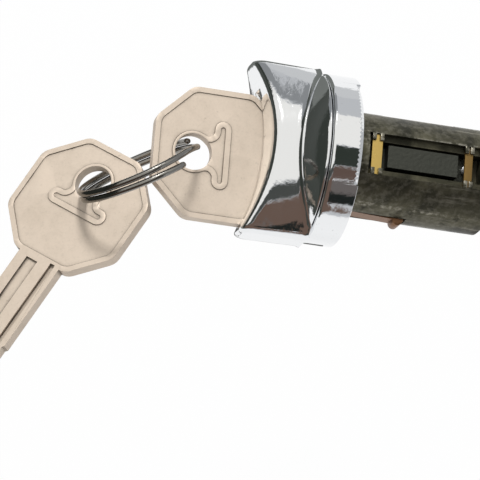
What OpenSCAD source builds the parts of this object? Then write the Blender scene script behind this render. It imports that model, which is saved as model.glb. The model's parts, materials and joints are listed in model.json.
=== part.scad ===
// Side-bar ignition lock: winged knob, bezel, lock barrel with six tumblers, and two keys on a split ring.
// X runs along the barrel to the rear, Y lies in the plane of the key, Z points up through the side bar.

/* [Barrel] */
// Outside diameter of the lock barrel
barrel_d = 20.5; // [19.5:0.1:22]
// Length of the barrel behind the bezel, to its rear chamfer
barrel_len = 28.3; // [27.5:0.1:30]
// Length of the rear chamfer
barrel_chamfer = 1.6; // [0.5:0.1:2.5]
// Diameter of the neck behind the barrel
neck_d = 13; // [10:0.5:16]
// Length of the neck
neck_len = 3; // [1:0.5:8]
// Length of the drive tang behind the neck
tang_len = 5; // [2:0.5:12]
// Width of the drive tang
tang_w = 10; // [6:0.5:12]
// Thickness of the drive tang
tang_t = 4.2; // [2:0.1:6]

/* [Bezel] */
// Outside diameter of the bezel ring
bezel_d = 33.3; // [31:0.1:38]
// Length of the bezel ring
bezel_len = 6.3; // [5.8:0.1:9]
// Bevel on the front rim of the bezel
bezel_bevel = 0.8; // [0.2:0.1:1.5]
// Thickness of the bezel's front wall
bezel_wall = 2.5; // [1.5:0.1:2.8]
// Diameter of the recess in the back of the bezel
recess_d = 28.4; // [27:0.1:29]
// How far the toothed parts of the back rim are set back
rim_step = 0.6; // [0.2:0.1:1]
// Width of that step
rim_step_w = 1.05; // [0.6:0.05:1.4]
// Depth of the teeth
tooth_depth = 0.4; // [0.2:0.05:0.6]
// Distance from one tooth to the next
tooth_pitch = 0.9; // [0.7:0.05:1.5]
// Angle that each toothed part covers
tooth_sector = 81; // [60:1:110]
// Turn of the toothed parts from the side bar
tooth_turn = 9.5; // [-20:0.5:20]

/* [Knob] */
// Span of the knob across its two ears
ear_span = 34.8; // [32:0.1:38]
// Distance from the bezel's front to the middle of the knob's hollow front
knob_rise = 9.8; // [8.5:0.1:12]
// How far the ears stand forward of the middle
ear_rise = 4; // [2:0.1:6]
// Thickness of the wing at the middle of its front
wing_t = 17; // [14:0.1:19]
// Thickness of the wing at its ears
ear_t = 7.6; // [6.4:0.1:10]
// Thickness of the wing at the middle of its foot
foot_t = 22; // [19.5:0.1:24]
// Thickness of the foot at its ends
foot_end_t = 6.8; // [5:0.1:9]
// Rise of the domed skirt
dome_rise = 6.4; // [5.5:0.1:7]
// Rim left at the edge of the skirt
skirt_rim = 0.35; // [0.2:0.05:0.8]

/* [Key] */
// Width of the octagonal bow across its flats
bow_w = 26.3; // [25:0.1:28]
// Cut of each corner of the bow
bow_cut = 7; // [6:0.1:8]
// Corner radius of the bow
bow_r = 3; // [1:0.1:4]
// Thickness of the key
key_t = 2.3; // [1.8:0.1:2.5]
// Width of the raised border of the bow
border_w = 1.05; // [0.5:0.05:2]
// Depth of the bow's field below its border
field_depth = 0.18; // [0.05:0.01:0.4]
// Diameter of the hole in the bow
hole_d = 7.3; // [7:0.1:9]
// Distance of the hole from the middle of the bow
hole_offset = 5.25; // [4:0.05:7]
// Width of the blade
blade_w = 9.6; // [9:0.1:9.8]
// Length of the blade from the bow's edge
blade_len = 34.8; // [34.4:0.1:35.8]
// Offset of the key from the barrel's axis
key_offset = 2.5; // [2.3:0.05:2.8]
// Length of the bow's edge that sits in the knob
bow_seat = 4.8; // [4:0.1:5.6]

/* [Tumblers] */
// Number of tumblers
tumbler_count = 6; // [6:1:6]
// Distance from one tumbler to the next
tumbler_pitch = 2.35; // [2.2:0.01:2.4]
// Thickness of a tumbler
tumbler_t = 1.2; // [0.9:0.05:1.3]
// Width of a tumbler
tumbler_w = 7.2; // [6.8:0.1:7.4]
// Depth of the shallowest cut in the key
first_cut = 0.4; // [0.2:0.05:0.6]
// How much deeper each cut is than the one before
cut_step = 0.3; // [0.1:0.05:0.35]

/* [Side bar] */
// Length of the side bar's body
bar_len = 14.1; // [13.5:0.1:14.5]
// Width of the side bar
bar_w = 4.4; // [3.6:0.1:4.6]
// Distance of the side bar's middle from the bezel's back
bar_x = 14.05; // [13.9:0.05:14.3]
// Length of the window over the side bar
window_len = 23.1; // [22.8:0.1:23.6]
// Width of the window
window_w = 8.3; // [7.8:0.1:9]
// Width of the ledge along each side of the window
ledge_w = 1.3; // [1:0.05:1.5]
// Width of the front retainer
front_retainer_w = 2.1; // [1.6:0.1:2.3]
// Width of the rear retainer
rear_retainer_w = 1.6; // [1.2:0.1:2.2]
// Thickness of the retainers
retainer_t = 0.8; // [0.5:0.05:1]

/* [Retaining spring] */
// Width of the groove for the retaining spring
groove_w = 4; // [3.6:0.1:4.6]
// Depth of that groove
groove_depth = 0.75; // [0.7:0.05:0.9]
// Distance of the nub from the bezel's back
nub_x = 11.7; // [11:0.1:12.5]
// Radius of the nub
nub_r = 1.05; // [0.8:0.05:1.3]

/* [Split ring] */
// Diameter of the ring at the middle of its wire
ring_d = 24; // [23.8:0.1:24.6]
// Diameter of the wire
wire_d = 1.25; // [1:0.05:1.3]

/* [Hidden] */
$fn = 96;
eps = 0.05;
run_gap = 0.08;
slide_gap = 0.1;
seat_gap = 0.05;

barrel_r = barrel_d / 2;
bezel_r = bezel_d / 2;
bezel_front = -bezel_len;
bezel_bore_r = barrel_r + run_gap;
recess_floor = bezel_front + bezel_wall;
skirt_back = bezel_front - slide_gap;
skirt_r = bezel_r - bezel_bevel / 2;
knob_mid = bezel_front - knob_rise;
boss_r = 8;
boss_len = 1.8;
scoop_room = 0.6;
wing_front = knob_mid - ear_rise - scoop_room;
scoop_r = (pow(ear_span / 2, 2) + pow(ear_rise, 2)) / (2 * ear_rise);
foot_sink = 0.6;
foot_x = skirt_back - foot_sink;
dome_r = (pow(skirt_r, 2) + pow(dome_rise, 2)) / (2 * dome_rise);

clip_t = 1;
clip_depth = 0.9;
clip_r = 12.3;
clip_back = -1.2;
clip_arc = 330;
clip_turn = 105;
clip_front = clip_back - clip_t;
washer_t = 0.4;
washer_in_r = barrel_r + 0.2;
washer_out_r = clip_r + 0.6;
washer_flat = 0.5;

bow_edge = bezel_front - knob_rise + bow_seat;
bow_x = bow_edge - bow_w / 2;
slot_gap = 0.15;
slot_floor = 0.8;
slot_side = 1.2;
slot_t = key_t + 2 * slot_gap;
blade_top = blade_w / 2 - key_offset;
blade_low = -blade_w / 2 - key_offset;
tip_room = 0.8;
keyway_end = bow_edge + blade_len + tip_room;
cut_flat = 1.3;
cut_room = 0.3;
bead_w = 1.1;
bell_rim = 0.5;
bell_x = 0.3;
bell_half = 5.2;
bell_r = 0.5;
bell_fillet = 2.4;
blade_lap = 1.2;
tip_len = 2.4;
tip_low_len = 2.8;
tip_top = 0.6;
tip_low = -2.2;
// Grooves of the blade: start from the bow's edge, distance from the blade's edge, width and depth
narrow_groove = [-0.4, 1.2, 1, 0.75];
wide_groove = [0.6, 2.2, 2.6, 0.4];
back_groove = [-0.4, 3.4, 1.2, 0.6];

slot_w = tumbler_w + 2 * slide_gap;
slot_len = tumbler_t + 2 * slide_gap;
tumbler_drop = 0.7;
window_room = 0.2;
leg_h = 1;
tumbler_low = blade_low - window_room - leg_h;
tumbler_top = 5;
notch_depth = 0.9;
cover_lap = 0.6;
cover_w = slot_w + 2 * cover_lap;
cover_y = 8.4;
cover_end_lap = 0.8;
cover_len = (tumbler_count - 1) * tumbler_pitch + slot_len + 2 * cover_end_lap;
tumbler_wire = 0.25;
tumbler_coil_r = 0.5;

bar_out = 8.6;
bar_room = 0.15;
ledge_z = 8.1;
window_z = 4.9;
tongue_len = 3.4;
tongue_z = 5.2;
tongue_t = 0.9;
window_shift = 0.4;
front_room = 0.75;
rear_room = 2;
window_x = bar_x + window_shift;
front_retainer_x = window_x - window_len / 2 + front_room + front_retainer_w / 2;
rear_retainer_x = window_x + window_len / 2 - rear_room - rear_retainer_w / 2;
bar_coil_r = 0.75;
bar_wire = 0.4;
tab_len = 0.75;
tab_h = 0.5;
tab_lap = 0.1;

leaf_t = 0.4;
leaf_side_gap = 0.3;
leaf_w = groove_w - 2 * leaf_side_gap;
leaf_front = 0.9;
leaf_tail = 1.2;
leaf_front_gap = 0.2;
leaf_tail_gap = 0.4;
leaf_tilt = 2.5;

// Where the split ring passes through the hole of each key
ring_a = [-29.9, -0.7, 0];
ring_turn = 214.5;
ring_lean = -16;
spare_hole = [-46.6, -9.4, -8.1];
spare_turn = 242;
spare_lean = [-9.15, -30.4, 0];

// Gap between the wire's two turns, the angle where it starts, and the part of a turn left open at each end
turn_gap = 0.06;
wire_start = 150;
open_part = 0.095;
// Half the part of a turn that the crossing takes
cross_part = 0.08;
// How far the free end stands off, counted in turns from where that begins and over what part
splay = 0.5;
splay_from = 1.6;
splay_part = 0.3;

function tumbler_x(i) = bar_x + (i - (tumbler_count - 1) / 2) * tumbler_pitch;
function cut_depth(i) = first_cut + i * cut_step;
function window_top(i) = blade_top - cut_depth(i) + window_room;

// Points of an arc about a centre
function arc(c, r, a0, a1, n) =
    [for (k = [0:n]) let (a = a0 + (a1 - a0) * k / n) c + r * [cos(a), sin(a)]];

// Point turned about the origin
function spun(p, a) = [p[0] * cos(a) - p[1] * sin(a), p[0] * sin(a) + p[1] * cos(a)];

// Square of width w with its corners cut by c, and rounded to radius r
function octagon(w, c, r) = let (a = w / 2 - r, b = w / 2 - c - r * (sqrt(2) - 1))
    [for (q = [0:90:270]) each concat(
        arc(spun([a, b], q), r, q, q + 45, 5),
        arc(spun([b, a], q), r, q + 45, q + 90, 5))];

// Sweep of a round section of radius r along points p, closed at both ends
module tube(p, r, sides) {
    last = len(p) - 1;
    function unit(v) = v / norm(v);
    function heading(k) = unit(p[min(k + 1, last)] - p[max(k - 1, 0)]);
    function across(k) = unit(cross(heading(k), [0, 0, 1]));
    function ring(k) = [for (s = [0:sides - 1])
        p[k] + r * (cos(360 * s / sides) * across(k) + sin(360 * s / sides) * cross(heading(k), across(k)))];
    polyhedron(
        points = [for (k = [0:last]) each ring(k)],
        faces = concat(
            [[for (s = [0:sides - 1]) s]],
            [for (k = [0:last - 1], s = [0:sides - 1]) let (next = (s + 1) % sides)
                [k * sides + s, (k + 1) * sides + s, (k + 1) * sides + next, k * sides + next]],
            [[for (s = [sides - 1:-1:0]) last * sides + s]]));
}

// Compression spring that stands on z = 0
module coil(r, wire, h, turns, steps = 9, sides = 5) {
    rise = (h - wire) / (turns * steps);
    path = [for (k = [0:turns * steps]) let (a = 360 * k / steps)
        [r * cos(a), r * sin(a), wire / 2 + rise * k]];
    tube(path, wire / 2, sides);
}

// Turns a profile given as (distance from the axis, place along X) about the X axis
module turned(points) {
    rotate([0, 90, 0]) rotate_extrude() polygon(points);
}

module rod(x0, x1, r) {
    translate([x0, 0, 0]) rotate([0, 90, 0]) cylinder(h = x1 - x0, r = r);
}

module box(x, y, z) {
    translate([x[0], y[0], z[0]]) cube([x[1] - x[0], y[1] - y[0], z[1] - z[0]]);
}

// Ring pressed against the panel, with a toothed back rim and a recess for the clip
module bezel_ring() {
    color("gainsboro") difference() {
        turned([[bezel_bore_r, bezel_front], [bezel_r - bezel_bevel, bezel_front],
            [bezel_r, bezel_front + bezel_bevel], [bezel_r, 0], [recess_d / 2, 0],
            [recess_d / 2, recess_floor], [bezel_bore_r, recess_floor]]);
        for (side = [0, 180]) rotate([side - tooth_turn, 0, 0]) toothed_step();
    }
}

// Cut of one toothed part of the bezel's back rim, centred on +Z
module toothed_step() {
    count = floor(tooth_sector * PI / 180 * bezel_r / tooth_pitch);
    side = tooth_depth * sqrt(2);
    rotate([0, 90, 0]) rotate([0, 0, 180 - tooth_sector / 2]) rotate_extrude(angle = tooth_sector)
        translate([bezel_r - rim_step_w, -rim_step]) square([rim_step_w + 1, rim_step + 1]);
    for (k = [0.5:count - 0.5])
        rotate([tooth_sector * (k / count - 0.5), 0, 0]) translate([-rim_step, 0, bezel_r])
            rotate([0, 0, 45]) cube([side, side, 2 * (rim_step_w - eps)], center = true);
}

// Lens outline of the wing: thickest in the middle, square at its ends
module lens(length, mid_t, end_t) {
    half = length / 2;
    bulge = (mid_t - end_t) / 2;
    r = (half * half + bulge * bulge) / (2 * bulge);
    intersection() {
        translate([0, mid_t / 2 - r]) circle(r = r, $fn = 240);
        translate([0, r - mid_t / 2]) circle(r = r, $fn = 240);
        square([length, mid_t], center = true);
    }
}

// Wing lofted from its front to its wider foot
module wing_blank() {
    hull() {
        translate([wing_front, 0, 0]) rotate([90, 0, 90]) linear_extrude(eps) lens(ear_span, wing_t, ear_t);
        translate([foot_x, 0, 0]) rotate([90, 0, 90]) linear_extrude(eps)
            lens(ear_span - 2 * skirt_rim, foot_t, foot_end_t);
    }
}

// Pocket that takes the edge of the key's bow, with its slot across the front
module bow_pocket() {
    translate([0, -key_offset, -slot_t / 2]) linear_extrude(slot_t) {
        translate([bow_x, 0])
            polygon(octagon(bow_w + 2 * slot_gap, bow_cut + (2 - sqrt(2)) * slot_gap, bow_r));
        translate([knob_mid - ear_rise - 2, -bow_w / 2 - slot_gap])
            square([ear_rise + 2 - slot_floor, bow_w + slot_side]);
    }
    box([bow_edge - eps, skirt_back + 2], [blade_low - slot_gap, blade_top + slot_gap],
        [-slot_t / 2, slot_t / 2]);
}

// Chromed knob: a domed skirt with a winged grip across it
module knob() {
    color("silver") difference() {
        union() {
            intersection() {
                translate([skirt_back - dome_rise - skirt_rim + dome_r, 0, 0]) sphere(r = dome_r, $fn = 128);
                rod(skirt_back - dome_rise - 1, skirt_back, skirt_r);
            }
            difference() {
                wing_blank();
                translate([knob_mid - scoop_r, 0, -foot_t]) cylinder(h = 2 * foot_t, r = scoop_r, $fn = 180);
            }
        }
        rod(skirt_back - boss_len, skirt_back + 1, boss_r + seat_gap);
        bow_pocket();
    }
}

// Window for the side bar: a wide cavity with a ledge along each side
module bar_window() {
    half = window_w / 2;
    x = [window_x - window_len / 2, window_x + window_len / 2];
    box(x, [-half, half], [ledge_z, barrel_r + 1]);
    box(x, [-half + ledge_w, half - ledge_w], [window_z, ledge_z + eps]);
    box([tumbler_x(0) - slot_len, tumbler_x(tumbler_count - 1) + slot_len],
        [-bar_w / 2 - slide_gap, bar_w / 2 + slide_gap],
        [slot_w / 2 - notch_depth - bar_room, window_z + eps]);
}

// Corner tabs staked over a retainer
module retainer_tabs(x, w) {
    along = (w - tab_len) / 2 + tab_lap;
    across = (window_w - ledge_w) / 2;
    for (sx = [-1, 1], sy = [-1, 1])
        translate([x + sx * along, sy * across, ledge_z + retainer_t + tab_h / 2])
            cube([tab_len, ledge_w + 2 * eps, tab_h], center = true);
}

// Cast lock barrel with its keyway, tumbler slots, window, clip groove and drive tang
module lock_barrel() {
    end = barrel_len + barrel_chamfer;
    neck_end = end + neck_len;
    boss_front = skirt_back - boss_len + seat_gap;
    color("dimgray") union() {
        difference() {
            turned([[0, boss_front], [boss_r, boss_front], [boss_r, skirt_back], [barrel_r, skirt_back],
                [barrel_r, clip_front], [barrel_r - clip_depth, clip_front],
                [barrel_r - clip_depth, clip_back], [barrel_r, clip_back], [barrel_r, barrel_len],
                [barrel_r - barrel_chamfer, end], [neck_d / 2, end], [neck_d / 2, neck_end], [0, neck_end]]);
            box([skirt_back - boss_len - 1, keyway_end], [blade_low - slot_gap, blade_top + slot_gap],
                [-slot_t / 2, slot_t / 2]);
            for (i = [0:tumbler_count - 1])
                box([tumbler_x(i) - slot_len / 2, tumbler_x(i) + slot_len / 2],
                    [tumbler_low - tumbler_drop - slide_gap, cover_y + eps], [-slot_w / 2, slot_w / 2]);
            box([bar_x - cover_len / 2, bar_x + cover_len / 2], [cover_y, barrel_r + 1],
                [-cover_w / 2, cover_w / 2]);
            bar_window();
            box([leaf_front - leaf_front_gap, nub_x + leaf_tail + leaf_tail_gap],
                [-barrel_r - 1, groove_depth - barrel_r], [-groove_w / 2, groove_w / 2]);
        }
        intersection() {
            union() {
                retainer_tabs(front_retainer_x, front_retainer_w);
                retainer_tabs(rear_retainer_x, rear_retainer_w);
            }
            rod(0, barrel_len, barrel_r);
        }
        box([neck_end - eps, neck_end + tang_len], [-tang_w / 2, tang_w / 2], [-tang_t / 2, tang_t / 2]);
    }
}

// Open snap ring in the barrel's groove
module retaining_clip() {
    color("darkgray") translate([clip_front + seat_gap, 0, 0]) rotate([0, 90, 0]) rotate([0, 0, clip_turn])
        rotate_extrude(angle = clip_arc) translate([barrel_r - clip_depth + seat_gap, 0])
            square([clip_r - barrel_r + clip_depth - seat_gap, clip_t - 2 * seat_gap]);
}

// Coned spring washer between the clip and the bezel's front wall
module spring_washer() {
    low = recess_floor + seat_gap;
    high = clip_front;
    color("lightsteelblue") turned([[washer_in_r, high - washer_t], [washer_in_r, high],
        [washer_in_r + washer_flat, high], [washer_out_r, low + washer_t], [washer_out_r, low],
        [washer_out_r - washer_flat, low]]);
}

// Brass bridge that holds one end of the side bar's spring
module bar_retainer(x, w) {
    color("goldenrod") box([x - w / 2, x + w / 2], [seat_gap - window_w / 2, window_w / 2 - seat_gap],
        [ledge_z, ledge_z + retainer_t]);
}

module front_bar_retainer() {
    bar_retainer(front_retainer_x, front_retainer_w);
}

module rear_bar_retainer() {
    bar_retainer(rear_retainer_x, rear_retainer_w);
}

// Strip that closes the tumbler slots, flush with the barrel
module tumbler_cover() {
    half = cover_w / 2 - seat_gap;
    color("darkkhaki") intersection() {
        box([bar_x - cover_len / 2 + seat_gap, bar_x + cover_len / 2 - seat_gap], [cover_y, barrel_r],
            [-half, half]);
        rod(0, barrel_len, barrel_r - seat_gap);
    }
}

// Side bar: a wedge-edged bar with a tongue at each end under the springs
module side_bar() {
    half = bar_w / 2;
    tip = slot_w / 2 - slide_gap - notch_depth + bar_room;
    wedge_top = tip + notch_depth + eps;
    shoulder = window_z + bar_room;
    edge = [tumbler_x(0) - tumbler_t, tumbler_x(tumbler_count - 1) + tumbler_t];
    tongue_end = bar_len / 2 + tongue_len;
    color("slategray") union() {
        box([bar_x - bar_len / 2, bar_x + bar_len / 2], [-half, half], [shoulder, bar_out]);
        box([bar_x - tongue_end, bar_x + tongue_end], [-half, half], [tongue_z, tongue_z + tongue_t]);
        box(edge, [bar_room - half, half - bar_room], [wedge_top - eps, shoulder + eps]);
        translate([edge[0], 0, 0]) rotate([90, 0, 90]) linear_extrude(edge[1] - edge[0])
            polygon([[-notch_depth, wedge_top], [0, tip], [notch_depth, wedge_top]]);
    }
}

module bar_spring(x) {
    base = tongue_z + tongue_t;
    color("gray") translate([x, 0, base]) coil(bar_coil_r, bar_wire, ledge_z - base, 3);
}

module front_bar_spring() {
    bar_spring(front_retainer_x);
}

module rear_bar_spring() {
    bar_spring(rear_retainer_x);
}

// Brass tumbler: a plate with a window for the blade and a notch for the side bar
module tumbler(i) {
    half = tumbler_w / 2;
    window_low = blade_low - window_room;
    color("goldenrod") translate([tumbler_x(i) - tumbler_t / 2, 0, 0]) rotate([90, 0, 90])
        linear_extrude(tumbler_t) difference() {
            translate([tumbler_low, -half]) square([tumbler_top - tumbler_low, tumbler_w]);
            translate([window_low, -slot_t / 2]) square([window_top(i) - window_low, slot_t]);
            polygon([[-notch_depth, half], [0, half - notch_depth], [notch_depth, half], [0, half + 1]]);
        }
}

module tumbler_spring(i) {
    color("peru") translate([tumbler_x(i), tumbler_top, 0]) rotate([-90, 0, 0])
        coil(tumbler_coil_r, tumbler_wire, cover_y - tumbler_top, 5, 8, 4);
}

// Leaf in the groove under the barrel, with a half-round nub that snaps into the housing
module retaining_spring() {
    color("sienna") translate([leaf_front, groove_depth - barrel_r, 0]) rotate([0, 0, -leaf_tilt]) union() {
        box([0, nub_x - leaf_front + leaf_tail], [-leaf_t, 0], [-leaf_w / 2, leaf_w / 2]);
        translate([nub_x - leaf_front, -leaf_t, -leaf_w / 2]) intersection() {
            cylinder(h = leaf_w, r = nub_r);
            translate([-nub_r, -nub_r, 0]) cube([2 * nub_r, nub_r + eps, leaf_w]);
        }
    }
}

// Bell-shaped outline from the hole of the bow to a bar across it, grown by g
module bell(g) {
    rim = hole_d / 2 + bell_rim - bead_w;
    translate([-hole_offset, 0]) circle(r = rim + g);
    polygon(concat(
        arc([bell_x, bell_half], bell_r + g, 0, 180, 8),
        arc([bell_x, -bell_half], bell_r + g, 180, 360, 8)));
    for (s = [0, 1]) mirror([0, s]) bell_shoulder(rim, g);
}

// Half of the bell's body, with a hollow shoulder that touches the hole's rim and the end of the bar
module bell_shoulder(rim, g) {
    hole = [-hole_offset, 0];
    end = [bell_x, bell_half];
    way = (end - hole) / norm(end - hole);
    along = (pow(rim + bell_fillet, 2) - pow(bell_r + bell_fillet, 2)) / (2 * norm(end - hole))
        + norm(end - hole) / 2;
    off = sqrt(pow(rim + bell_fillet, 2) - pow(along, 2));
    mid = hole + along * way + off * spun(way, 90);
    from = hole - mid;
    to = end - mid;
    polygon(concat([hole],
        arc(mid, bell_fillet - g, atan2(from[1], from[0]), atan2(to[1], to[0]), 8), [end, [bell_x, 0]]));
}

// Upper edge of the blade as steps that fall towards the tip
function bitting() = [for (i = [0:tumbler_count - 1]) let (x = tumbler_x(i), y = -cut_depth(i))
    each [[x - cut_flat / 2 - cut_room, y], [x + cut_flat / 2, y]]];

// Key in its place in the lock, centred on its own line
module key_blank() {
    half = blade_w / 2;
    tip = bow_edge + blade_len;
    steps = [for (p = bitting()) [p[0], half + p[1]]];
    fall = half - cut_depth(tumbler_count - 1);
    neck = bow_edge - blade_lap;
    mid = key_t / 2;
    difference() {
        union() {
            translate([bow_x, 0, -mid]) linear_extrude(key_t) polygon(octagon(bow_w, bow_cut, bow_r));
            translate([0, 0, -mid]) linear_extrude(key_t) polygon(concat(
                [[neck, -half], [neck, half], [steps[0][0] - first_cut, half]], steps,
                [[tip - tip_len, fall], [tip, tip_top], [tip, tip_low], [tip - tip_low_len, -half]]));
        }
        translate([bow_x - hole_offset, 0, -key_t]) cylinder(h = 2 * key_t, d = hole_d);
        for (back = [0, 1]) mirror([0, 0, back])
            translate([bow_x, 0, mid - field_depth]) linear_extrude(1) bow_field();
        blade_groove(narrow_groove, 0, 0);
        blade_groove(wide_groove, 1, 0);
        blade_groove(back_groove, 0, 1);
    }
}

// Sunk field of the bow inside its border, round the raised bead of the bell
module bow_field() {
    difference() {
        polygon(octagon(bow_w - 2 * border_w, bow_cut - (2 - sqrt(2)) * border_w, bow_r - border_w / 2));
        difference() {
            bell(bead_w);
            bell(0);
        }
    }
}

// Groove along the blade to its tip: low counts from the uncut edge, back puts it in the other face
module blade_groove(g, low, back) {
    edge = blade_w / 2 - g[1];
    mirror([0, low, 0]) mirror([0, 0, back]) box([bow_edge + g[0], bow_edge + blade_len + 1],
        [edge - g[2], edge], [key_t / 2 - g[3], key_t / 2 + 1]);
}

module ignition_key() {
    color("tan") translate([0, -key_offset, 0]) key_blank();
}

// Spare key on the split ring, beside the lock
module spare_key() {
    color("tan") translate(spare_hole) rotate(spare_lean) rotate([0, 0, spare_turn])
        translate([hole_offset - bow_x, 0, 0]) key_blank();
}

// Split ring: two turns of wire side by side, joined by one crossing
module key_ring() {
    r = ring_d / 2;
    step = wire_d + turn_gap;
    steps = 42;
    skip = round(open_part * steps);
    function shift(t) = step * (min(max((t - 1 + cross_part) / (2 * cross_part), 0), 1) - 0.5)
        + splay * pow(max((t - splay_from) / splay_part, 0), 2);
    path = [for (k = [skip:2 * steps - skip]) let (t = k / steps, a = 360 * t + wire_start)
        [r * cos(a), r * sin(a), shift(t)]];
    color("dimgray") translate(ring_a) rotate([0, 0, ring_turn]) rotate([ring_lean, 0, 0])
        translate([r, 0, 0]) rotate([90, 0, 0]) tube(path, wire_d / 2, 8);
}

bezel_ring();
knob();
lock_barrel();
retaining_clip();
spring_washer();
front_bar_retainer();
rear_bar_retainer();
tumbler_cover();
side_bar();
front_bar_spring();
rear_bar_spring();
for (i = [0:tumbler_count - 1]) {
    tumbler(i);
    tumbler_spring(i);
}
retaining_spring();
ignition_key();
key_ring();
spare_key();
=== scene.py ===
"""Looks of a side-bar ignition lock with two keys on a split ring, laid out as a Blender add-on."""

import json
import math

import bmesh
import bpy
from mathutils import Matrix, Vector


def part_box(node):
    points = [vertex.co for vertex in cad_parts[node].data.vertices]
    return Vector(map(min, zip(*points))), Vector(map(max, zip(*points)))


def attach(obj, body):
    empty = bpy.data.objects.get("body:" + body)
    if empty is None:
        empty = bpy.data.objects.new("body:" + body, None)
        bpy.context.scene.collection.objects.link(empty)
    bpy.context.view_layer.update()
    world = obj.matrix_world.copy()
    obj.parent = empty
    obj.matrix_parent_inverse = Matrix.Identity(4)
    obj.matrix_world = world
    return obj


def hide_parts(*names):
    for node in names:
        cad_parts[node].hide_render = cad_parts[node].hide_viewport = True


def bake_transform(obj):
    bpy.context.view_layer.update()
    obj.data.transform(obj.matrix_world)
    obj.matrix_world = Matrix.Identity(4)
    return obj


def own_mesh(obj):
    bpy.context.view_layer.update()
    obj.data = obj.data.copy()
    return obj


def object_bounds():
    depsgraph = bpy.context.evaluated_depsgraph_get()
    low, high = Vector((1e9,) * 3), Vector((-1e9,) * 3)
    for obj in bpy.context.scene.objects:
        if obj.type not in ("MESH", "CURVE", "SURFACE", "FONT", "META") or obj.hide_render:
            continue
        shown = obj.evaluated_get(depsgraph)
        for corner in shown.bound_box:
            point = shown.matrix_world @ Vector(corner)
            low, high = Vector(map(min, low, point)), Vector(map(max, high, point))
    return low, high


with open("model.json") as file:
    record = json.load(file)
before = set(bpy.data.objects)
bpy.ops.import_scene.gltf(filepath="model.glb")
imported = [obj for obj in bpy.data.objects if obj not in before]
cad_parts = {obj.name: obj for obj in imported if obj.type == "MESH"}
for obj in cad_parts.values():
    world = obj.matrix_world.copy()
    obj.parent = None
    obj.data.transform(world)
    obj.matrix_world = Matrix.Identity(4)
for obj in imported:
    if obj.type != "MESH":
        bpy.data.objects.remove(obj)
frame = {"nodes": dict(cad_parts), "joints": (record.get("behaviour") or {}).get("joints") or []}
CAD_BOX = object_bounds()
NODES = frame["nodes"]
MM = 0.001
TUMBLERS = 6
WELD_GAP = 0.002
SAME_POINT = 0.0005
SOFT_ANGLE = math.radians(28)
LARGE_FACE_WEIGHT = 80
WHITE = (1.0, 1.0, 1.0)
BLACK = (0.0, 0.0, 0.0)

bl_info = {
    "name": "Ignition lock",
    "version": (1, 0, 0),
    "blender": (4, 5, 0),
    "location": "View3D > Sidebar > Ignition lock",
    "description": "Finishes a side-bar ignition lock with its keys",
    "category": "Object",
}


def span(node, axis):
    """Lowest and highest place of a CAD node along one axis, in millimetres."""
    low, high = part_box(node)
    return low[axis] / MM, high[axis] / MM


def length_prop(name, about, default):
    """A length that a user may change; its default is given in millimetres."""
    return bpy.props.FloatProperty(
        name=name,
        description=about,
        default=default * MM,
        min=0.0,
        precision=5,
        subtype="DISTANCE",
        unit="LENGTH",
    )


def place_prop(name, about, default):
    """A place that a user may change; its default is given in millimetres."""
    metres = [c * MM for c in default]
    return bpy.props.FloatVectorProperty(
        name=name,
        description=about,
        default=metres,
        size=3,
        precision=5,
        subtype="TRANSLATION",
        unit="LENGTH",
    )


def angle_prop(name, about, default):
    """An angle that a user may change; its default is given in degrees."""
    return bpy.props.FloatProperty(
        name=name, description=about, default=math.radians(default), subtype="ANGLE", unit="ROTATION"
    )


def colour_prop(name, about, default):
    """A linear colour that a user may change."""
    return bpy.props.FloatVectorProperty(
        name=name, description=about, default=default, size=3, min=0.0, max=1.0, subtype="COLOR"
    )


def count_prop(name, about, default):
    """A number of turns that a user may change."""
    return bpy.props.IntProperty(name=name, description=about, default=default, min=1)


class KnobSizes(bpy.types.PropertyGroup):
    """Sizes of the winged knob."""

    skirt_back: length_prop("Skirt back", "Back of the skirt along X, towards the front", -span("knob", 0)[1])
    skirt_r: length_prop("Skirt radius", "Radius of the domed skirt", span("knob", 2)[1])
    skirt_bore: length_prop("Skirt bore", "Radius of the hollow in the skirt, behind the wing", 8.8)
    skirt_rim: length_prop("Skirt rim", "Straight rim of the skirt", 0.35)
    dome_rise: length_prop("Dome rise", "Rise of the domed skirt", 6.4)
    ear_half: length_prop("Ear half span", "Half of the span across the ears", span("knob", 1)[1])
    ear_rise: length_prop("Ear rise", "How far the ears stand forward of the middle", 4.0)
    ear_thick: length_prop("Ear half", "Half thickness of an ear at the front", 3.8)
    wing_half: length_prop("Wing half", "Half thickness at the middle of the front", 8.5)
    foot_half: length_prop("Foot half", "Half thickness at the middle of the foot", 11.0)
    foot_end: length_prop("Foot end", "Half thickness of the foot at its ends", 3.4)
    edge_r: length_prop("Edge radius", "Rounding of the wing's front edges", 2.2)
    lip_r: length_prop("Lip radius", "Rounding of the ear ends", 1.1)
    fillet_r: length_prop("Fillet", "Fillet between the wing and the skirt", 0.9)
    slot_half: length_prop("Slot half", "Half width of the slot for the key", 1.3)
    slot_chamfer: length_prop("Slot chamfer", "Chamfer along the mouth of the slot", 0.18)
    slot_depth: length_prop("Slot depth", "Least depth of the slot below the hollow front", 0.9)
    slot_runout: length_prop("Slot run-out", "How far the slot runs past the bow, to the upper ear", 1.0)


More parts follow.
